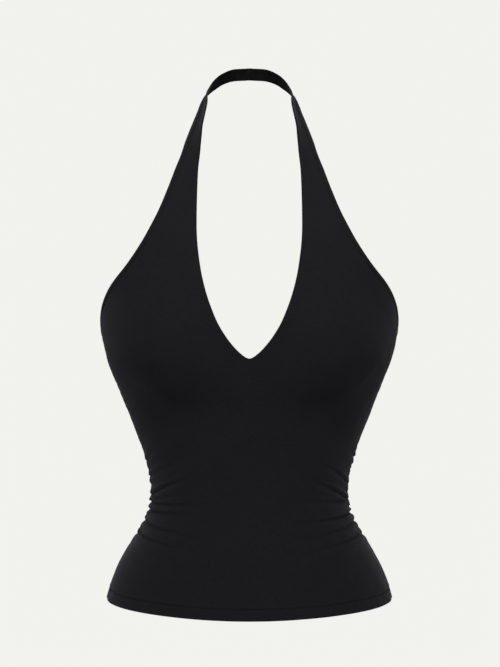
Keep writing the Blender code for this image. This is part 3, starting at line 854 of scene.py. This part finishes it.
def make_back_edging():
    half = np.concatenate((EDGE_STEPS, spread(EDGE_STEPS[-1], BACK_EDGING_REACH, BACK_EDGING_STEP)[1:]))
    samples = np.linspace(SIDE_SEAM_TURN, 180, BACK_EDGE_SAMPLES)
    run = run_along(form_point(samples, back_line_drop(samples, 0.0))[None])[0]
    turn = np.interp(half, run, samples)
    turn = np.concatenate((turn, [180.0], 360 - turn[::-1]))
    low = (turn, back_line_drop(turn, BAND_WIDTH + SEAM_MIDDLE + SEAM_OVER))
    high = (turn, back_line_drop(turn, 0.0))
    return make_edging("back_edging", "back_band", low, high, CLOTH, EDGING_BULGE, 1.0)


def both_halves(turn, drop):
    """A line from the wearer's left to the nape, carried on to the right."""
    return np.concatenate((turn, 360 - turn[-2::-1])), np.concatenate((drop, drop[-2::-1]))


def make_neck_strap():
    seam = NECK_SEAM_ALONG - SEAM_OVER
    even = spread(seam + EDGE_STEPS[-1], STATIONS[-1].along, NECK_BAND_STEP)[1:]
    half = np.concatenate((seam + EDGE_STEPS, even))
    low = strap_place(half, np.zeros(len(half)))
    neck_turn, neck_drop = strap_place(half, np.ones(len(half)))
    neck_drop = neck_drop - NECK_BAND_RISE * growth(half - seam, NECK_BAND_RISE_FROM, NECK_BAND_RISE_OVER)
    thick = CLOTH + NECK_BAND_EXTRA
    return make_edging("neck_band", "neck_strap", both_halves(*low), both_halves(neck_turn, neck_drop),
                       thick, NECK_BAND_BULGE, 0.0)


# ---------- the hem's stitching

STITCH_STEP, STITCH_LENGTH, STITCH_END_ROOM = 3.0, 2.4, 1.0
THREAD, THREAD_FLATNESS, THREAD_SIDES = 0.27, 0.7, 6  # half the thread's width, and how flat it lies
STITCH_AHEAD = 0.5  # the distance over which a stitch's direction is taken
# Rings along a stitch: how far along it, how thick, and how far out of the groove.
STITCH_RINGS = table(
    "share size rise",
    (0, 0.5, -0.16),
    (0.12, 0.85, 0.02),
    (0.5, 1, 0.10),
    (0.88, 0.85, 0.02),
    (1, 0.5, -0.16),
)


def stitch_line(part):
    """The stitches' line in the hem's groove, between the side seams, and its outward directions."""
    ends, drop_at = (((-SIDE_SEAM_TURN, SIDE_SEAM_TURN), front_drop) if part == "front" else
                     ((SIDE_SEAM_TURN, 360 - SIDE_SEAM_TURN), back_drop))
    turn = np.linspace(*ends, STITCH_LINE_SAMPLES)
    drop = drop_at(turn, 0.0) - HEM_DEPTH
    line, normal = form_point(turn, drop), outward(turn, drop)
    return line + normal * (slack(line) + hem_relief(HEM_DEPTH, line)[1])[:, None], normal


def read_at(places, run, curve):
    """What a curve of points or directions has at these distances along it."""
    return np.stack([np.interp(places, run, axis) for axis in curve.T], -1)


def stitch_points(line, normal):
    """The points of all stitches, in an array of stitch, ring and side, and axis."""
    run = run_along(line[None])[0]
    count = int((run[-1] - STITCH_END_ROOM) // STITCH_STEP)
    first = (run[-1] - count * STITCH_STEP + STITCH_STEP - STITCH_LENGTH) / 2
    starts = first + STITCH_STEP * np.arange(count)
    points = []
    for ring in STITCH_RINGS:
        at = starts + ring.share * STITCH_LENGTH
        middle, out = read_at(at, run, line), read_at(at, run, normal)
        across = np.cross(out, read_at(at + STITCH_AHEAD, run, line) - middle)
        across /= length(across)[:, None]
        for n in range(THREAD_SIDES):
            angle = 2 * math.pi * n / THREAD_SIDES
            up = ring.rise + THREAD_FLATNESS * THREAD * ring.size * math.sin(angle)
            points.append(middle + out * up + across * THREAD * ring.size * math.cos(angle))
    return np.stack(points, 1)


def stitch_faces(count):
    """Each stitch is a tube through its rings, closed at both ends."""
    faces = []
    rings = len(STITCH_RINGS)
    for stitch in range(count):
        first = stitch * rings * THREAD_SIDES
        last = first + (rings - 1) * THREAD_SIDES
        for ring in range(first, last, THREAD_SIDES):
            for n in range(THREAD_SIDES):
                a, b = ring + n, ring + (n + 1) % THREAD_SIDES
                faces.append((a, a + THREAD_SIDES, b + THREAD_SIDES, b))
        faces.append(tuple(first + n for n in range(THREAD_SIDES)))
        faces.append(tuple(last + n for n in reversed(range(THREAD_SIDES))))
    return faces


def make_hem_stitching(name, part):
    points = stitch_points(*stitch_line(part))
    mesh = bpy.data.meshes.new(name)
    mesh.from_pydata((points.reshape(-1, 3) * MM).tolist(), [], stitch_faces(len(points)))
    mesh.materials.append(thread_material)
    mesh.shade_smooth()
    stitching = add_object(name, mesh)
    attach(stitching, "root")
    return stitching


# ---------- materials

BLACK = (0.0123, 0.0123, 0.0141)
THREAD_BLACK = (0.0095, 0.0095, 0.0108)
# the panels' inside is a darker copy of the jersey: partly the knit's duller wrong side, partly painted
# shade
PANEL_INSIDE_BLACK = (0.0105, 0.0105, 0.0120)
NECK_INSIDE_BLACK = (0.0125, 0.0125, 0.0137)
SHEEN_TINT, SHEEN_ROUGHNESS, SPECULAR = (0.87, 0.87, 0.97, 1.0), 0.5, 0.02
WALE, COURSE = 0.0011, 0.0009  # metres from one column of loops to the next, and from one row to the next
SLOW_SCALE, FINE_SCALE, SLOW_SHARE = 34.0, 420.0, 0.2  # of the mottling, and how much of it is slow
MOTTLING, MOTTLING_FROM, MOTTLING_TO = 0.11, 0.36, 0.64  # how much darker and lighter the cloth gets
GLOSS_CHANGE, GLOSS_FROM, GLOSS_TO = 0.05, 0.35, 0.65
PAINTED_SHADE_DARKNESS = 0.95  # how much of its colour the cloth loses under the deepest painted shade, as in a seam
TWIST_SCALE, TWIST_DARK, TWIST_LIGHT = 900.0, 0.7, 1.2


class Nodes:
    """Writes the nodes of a material or a world."""

    def __init__(self, owner):
        owner.use_nodes = True
        self.tree = owner.node_tree

    def feed(self, node, inputs):
        """Sets a node's inputs, or links those that are another node's output."""
        for key, value in inputs.items():
            if isinstance(value, bpy.types.NodeSocket):
                self.tree.links.new(value, node.inputs[key])
            else:
                node.inputs[key].default_value = value
        return node

    def add(self, kind, inputs, **settings):
        node = self.tree.nodes.new(kind)
        for key, value in settings.items():
            setattr(node, key, value)
        return self.feed(node, inputs)

    def math(self, operation, a, b=0.0):
        return self.add("ShaderNodeMath", {0: a, 1: b}, operation=operation).outputs[0]

    def noise(self, inputs):
        return self.add("ShaderNodeTexNoise", inputs).outputs["Fac"]

    def bump(self, inputs):
        return self.add("ShaderNodeBump", inputs).outputs["Normal"]

    def shade(self, inputs):
        """Feeds the material's own shader."""
        self.feed(self.tree.nodes["Principled BSDF"], inputs)

    def ramp(self, fac, stops):
        """A colour ramp through two (place, colour) stops."""
        ramp = self.add("ShaderNodeValToRGB", {"Fac": fac})
        for element, (place, colour) in zip(ramp.color_ramp.elements, stops):
            element.position = place
            element.color = (*colour, 1.0)
        return ramp.outputs["Color"]


def scaled(colour, scale):
    return tuple(channel * scale for channel in colour)


def knit_height(nodes):
    """The fine relief of the knit: slanting loops in columns."""
    flat = nodes.add("ShaderNodeUVMap", {}, uv_map="cloth").outputs["UV"]
    split = nodes.add("ShaderNodeSeparateXYZ", {"Vector": flat})
    wale = nodes.math("MULTIPLY", split.outputs["X"], 1 / WALE)
    course = nodes.math("MULTIPLY", split.outputs["Y"], 1 / COURSE)
    slant = nodes.math("ADD", course, nodes.math("PINGPONG", wale, 0.5))
    loop = nodes.math("SINE", nodes.math("MULTIPLY", slant, 2 * math.pi))
    rib = nodes.math("SINE", nodes.math("MULTIPLY", wale, 2 * math.pi))
    return nodes.math("ADD", nodes.math("MULTIPLY", loop, 0.5), nodes.math("MULTIPLY", rib, 0.5))


def jersey(name, colour, roughness, sheen):
    """Black smooth jersey: a fine knit, and slow mottling of its colour and its gloss."""
    material = bpy.data.materials.new(name)
    nodes = Nodes(material)
    place = nodes.add("ShaderNodeTexCoord", {}).outputs["Object"]
    slow = nodes.noise({"Vector": place, "Scale": SLOW_SCALE, "Detail": 3.0, "Roughness": 0.55})
    fine = nodes.noise({"Vector": place, "Scale": FINE_SCALE, "Detail": 2.0, "Roughness": 0.6})
    mottle = nodes.math("ADD", nodes.math("MULTIPLY", slow, SLOW_SHARE),
                        nodes.math("MULTIPLY", fine, 1 - SLOW_SHARE))
    mottled = nodes.ramp(mottle, ((MOTTLING_FROM, scaled(colour, 1 - MOTTLING)),
                                  (MOTTLING_TO, scaled(colour, 1 + MOTTLING))))
    # painted shade: where cloth lies deep in a seam, a stitch line or a crease, its colour is darkened
    hollow = nodes.add("ShaderNodeAttribute", {}, attribute_name="hollow").outputs["Fac"]
    open_share = nodes.math("SUBTRACT", 1.0, nodes.math("MULTIPLY", hollow, PAINTED_SHADE_DARKNESS))
    shown = nodes.add("ShaderNodeMix", {"Factor": open_share, "A": (0.0, 0.0, 0.0, 1.0), "B": mottled},
                      data_type="RGBA")
    least, most = roughness - GLOSS_CHANGE, roughness + GLOSS_CHANGE
    rough = nodes.add("ShaderNodeMapRange", {"Value": mottle, "From Min": GLOSS_FROM, "From Max": GLOSS_TO,
                                             "To Min": least, "To Max": most})
    knitted = nodes.bump({"Height": knit_height(nodes), "Strength": 0.25, "Distance": 0.00012})
    bumpy = nodes.bump({"Height": fine, "Normal": knitted, "Strength": 0.35, "Distance": 0.00025})
    nodes.shade({"Base Color": shown.outputs["Result"], "Roughness": rough.outputs["Result"],
                 "Normal": bumpy, "Metallic": 0.0, "Specular IOR Level": SPECULAR,
                 "Sheen Weight": sheen, "Sheen Roughness": SHEEN_ROUGHNESS, "Sheen Tint": SHEEN_TINT})
    return material


def thread(name, colour):
    """Sewing thread with a fine twist."""
    material = bpy.data.materials.new(name)
    nodes = Nodes(material)
    place = nodes.add("ShaderNodeTexCoord", {}).outputs["Object"]
    twist = nodes.add("ShaderNodeTexWave", {"Vector": place, "Scale": TWIST_SCALE, "Distortion": 1.5},
                      bands_direction="DIAGONAL").outputs["Fac"]
    twisted = nodes.ramp(twist, ((0.0, scaled(colour, TWIST_DARK)), (1.0, scaled(colour, TWIST_LIGHT))))
    bumpy = nodes.bump({"Height": twist, "Strength": 0.4, "Distance": 0.0001})
    nodes.shade({"Base Color": twisted, "Normal": bumpy, "Roughness": 0.6, "Specular IOR Level": 0.1})
    return material


thread_material = thread("black_thread", THREAD_BLACK)
panel_material = jersey("jersey_panel", BLACK, roughness=0.65, sheen=0.082)
band_material = jersey("jersey_band", BLACK, roughness=0.62, sheen=0.078)
panel_inside_material = jersey("jersey_panel_inside", PANEL_INSIDE_BLACK, roughness=0.7, sheen=0.065)
neck_inside_material = jersey("jersey_neck_inside", NECK_INSIDE_BLACK, roughness=0.75, sheen=0.02)

# ---------- the pieces

front = make_front()
back = make_back()
neck_band = make_neck_strap()
edgings = [make_armhole_edging("armhole_edging_left", "armhole_band_left", 1),
           make_armhole_edging("armhole_edging_right", "armhole_band_right", -1),
           make_back_edging()]
front_stitching = make_hem_stitching("hem_stitching_front", "front")
back_stitching = make_hem_stitching("hem_stitching_back", "back")

# ---------- floor, light and camera, in metres

STUDIO_WHITE = (0.885, 0.885, 0.855, 1)
FLOOR_HEIGHT, FLOOR_RADIUS, FLOOR_SIDES = -1.45, 14.0, 96
FLOOR_COLOUR = (0.02, 0.02, 0.02, 1)
FILL_COLOUR, FILL_STRENGTH = (0.95, 0.95, 1.0, 1), 0.008
TARGET = Vector((0, -0.06, -0.3))
LIGHTS = table(
    "name place size power",
    ("high_front_softbox", (0, -1.3, 1.5), (1.6, 1), 36.5),
    ("top_softbox", (0, -0.2, 1.8), (1.6, 1.2), 5.6),
    ("front_softbox", (0, -3, -0.3), (2.4, 1.6), 24.3),
    ("floor_bounce", (0, 0, -1.4), (3, 3), 21),
    ("back_softbox", (0, 3, -0.3), (2.4, 1.6), 20),
    ("high_back_softbox", (0, 1.3, 1.5), (1.6, 1), 28),
    ("right_rim_softbox", (-2.4, 0.5, 0), (0.6, 1.2), 6),
    ("left_rim_softbox", (2.4, 0.5, 0), (0.6, 1.2), 4.2),
)
CAMERA_PLACE = (0.00065, -2.0607, -0.288)
CAMERA_LENS, CAMERA_SENSOR, CAMERA_REACH = 99.96, 36, 50


def lay_floor():
    """A wide floor that glows in the backdrop's colour and doesn't light the top."""
    mesh = bpy.data.meshes.new("floor")
    disc = bmesh.new()
    bmesh.ops.create_circle(disc, cap_ends=True, segments=FLOOR_SIDES, radius=FLOOR_RADIUS)
    disc.to_mesh(mesh)
    disc.free()
    floor = add_object("floor", mesh)
    floor.location = (0, 0, FLOOR_HEIGHT)
    floor.visible_diffuse = False
    floor.visible_glossy = False
    material = bpy.data.materials.new("floor")
    Nodes(material).shade({"Base Color": FLOOR_COLOUR, "Roughness": 1.0, "Specular IOR Level": 0.0,
                           "Emission Color": STUDIO_WHITE, "Emission Strength": 1.0})
    mesh.materials.append(material)


def make_world():
    """The camera sees the pale backdrop, and the top gets a weak fill from all sides."""
    world = bpy.data.worlds.new("studio")
    bpy.context.scene.world = world
    nodes = Nodes(world)
    seen = nodes.add("ShaderNodeLightPath", {})
    fill = nodes.add("ShaderNodeBackground", {"Color": FILL_COLOUR, "Strength": FILL_STRENGTH})
    backdrop = nodes.feed(nodes.tree.nodes["Background"], {"Color": STUDIO_WHITE})
    mix = nodes.add("ShaderNodeMixShader", {"Fac": seen.outputs["Is Camera Ray"],
                                            1: fill.outputs["Background"],
                                            2: backdrop.outputs["Background"]})
    nodes.feed(nodes.tree.nodes["World Output"], {"Surface": mix.outputs["Shader"]})
    bpy.context.scene.view_settings.view_transform = "Standard"


def hang_lamp(light):
    lamp = bpy.data.lights.new(light.name, "AREA")
    lamp.shape = "RECTANGLE"
    lamp.size, lamp.size_y = light.size
    lamp.energy = light.power
    holder = add_object(light.name, lamp)
    holder.location = light.place
    holder.visible_camera = False
    holder.rotation_mode = "QUATERNION"
    holder.rotation_quaternion = (TARGET - Vector(light.place)).to_track_quat("-Z", "Y")


def place_camera():
    camera_data = bpy.data.cameras.new("camera")
    camera_data.lens = CAMERA_LENS
    camera_data.sensor_width = CAMERA_SENSOR
    camera_data.clip_end = CAMERA_REACH
    camera = add_object("camera", camera_data)
    camera.location = CAMERA_PLACE
    camera.rotation_euler = (math.pi / 2, 0, 0)
    bpy.context.scene.camera = camera


lay_floor()
make_world()
for light in LIGHTS:
    hang_lamp(light)
place_camera()
